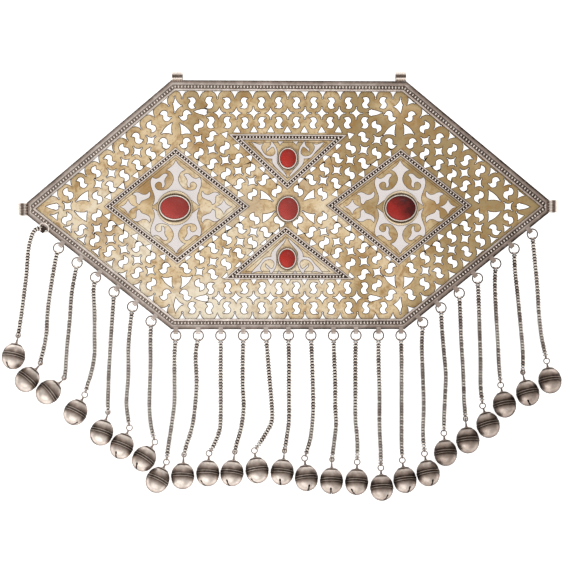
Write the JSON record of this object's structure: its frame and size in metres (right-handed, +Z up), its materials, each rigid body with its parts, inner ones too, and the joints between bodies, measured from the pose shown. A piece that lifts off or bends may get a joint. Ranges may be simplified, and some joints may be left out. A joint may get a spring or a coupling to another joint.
{
  "type": "turkmen chest ornament",
  "caption": "Six-sided pierced gilt silver pectoral set with oval carnelians, with fine chains and round bells hanging from its three lower edges.",
  "frame": {"origin": "middle of the whole footprint, on the surface that the ornament lies on", "axes": "+Z up out of the front face, +Y towards the upper edge as worn, +X to the viewer's right"},
  "size_m": [0.2898, 0.2224, 0.0123],
  "materials": {
    "gilt_sheet": "worn fire gilding on silver, hand engraved, brown in the recesses",
    "border_silver": "tarnished silver with rubbed highlights",
    "frame_silver": "tarnished silver with rubbed beads",
    "hanger_silver": "tarnished silver",
    "carnelian_brown": "polished brownish red carnelian",
    "carnelian_dark": "polished dark red carnelian",
    "carnelian_bright": "polished bright red carnelian",
    "chain_silver": "tarnished silver links",
    "bell_silver": "polished silver, brown at the belt"
  },
  "bodies": {
    "root": {"pierced_plate": "gilt_sheet", "border_frame": "border_silver", "rhomb_frames": "frame_silver", "triangle_frames": "frame_silver", "hanger_tubes": "hanger_silver", "stone_left": "carnelian_brown", "stone_centre": "carnelian_brown", "stone_right": "carnelian_dark", "stone_upper": "carnelian_bright", "stone_lower": "carnelian_bright", "chain_01": "chain_silver", "chain_02": "chain_silver", "chain_03": "chain_silver", "chain_04": "chain_silver", "chain_05": "chain_silver", "chain_06": "chain_silver", "chain_07": "chain_silver", "chain_08": "chain_silver", "chain_09": "chain_silver", "chain_10": "chain_silver", "chain_11": "chain_silver", "chain_12": "chain_silver", "chain_13": "chain_silver", "chain_14": "chain_silver", "chain_15": "chain_silver", "chain_16": "chain_silver", "chain_17": "chain_silver", "chain_18": "chain_silver", "chain_19": "chain_silver", "chain_20": "chain_silver", "chain_21": "chain_silver", "chain_22": "chain_silver", "chain_23": "chain_silver", "chain_24": "chain_silver", "chain_25": "chain_silver", "bell_01": "bell_silver", "bell_02": "bell_silver", "bell_03": "bell_silver", "bell_04": "bell_silver", "bell_05": "bell_silver", "bell_06": "bell_silver", "bell_07": "bell_silver", "bell_08": "bell_silver", "bell_09": "bell_silver", "bell_10": "bell_silver", "bell_11": "bell_silver", "bell_12": "bell_silver", "bell_13": "bell_silver", "bell_14": "bell_silver", "bell_15": "bell_silver", "bell_16": "bell_silver", "bell_17": "bell_silver", "bell_18": "bell_silver", "bell_19": "bell_silver", "bell_20": "bell_silver", "bell_21": "bell_silver", "bell_22": "bell_silver", "bell_23": "bell_silver", "bell_24": "bell_silver", "bell_25": "bell_silver"}
  },
  "joints": []
}
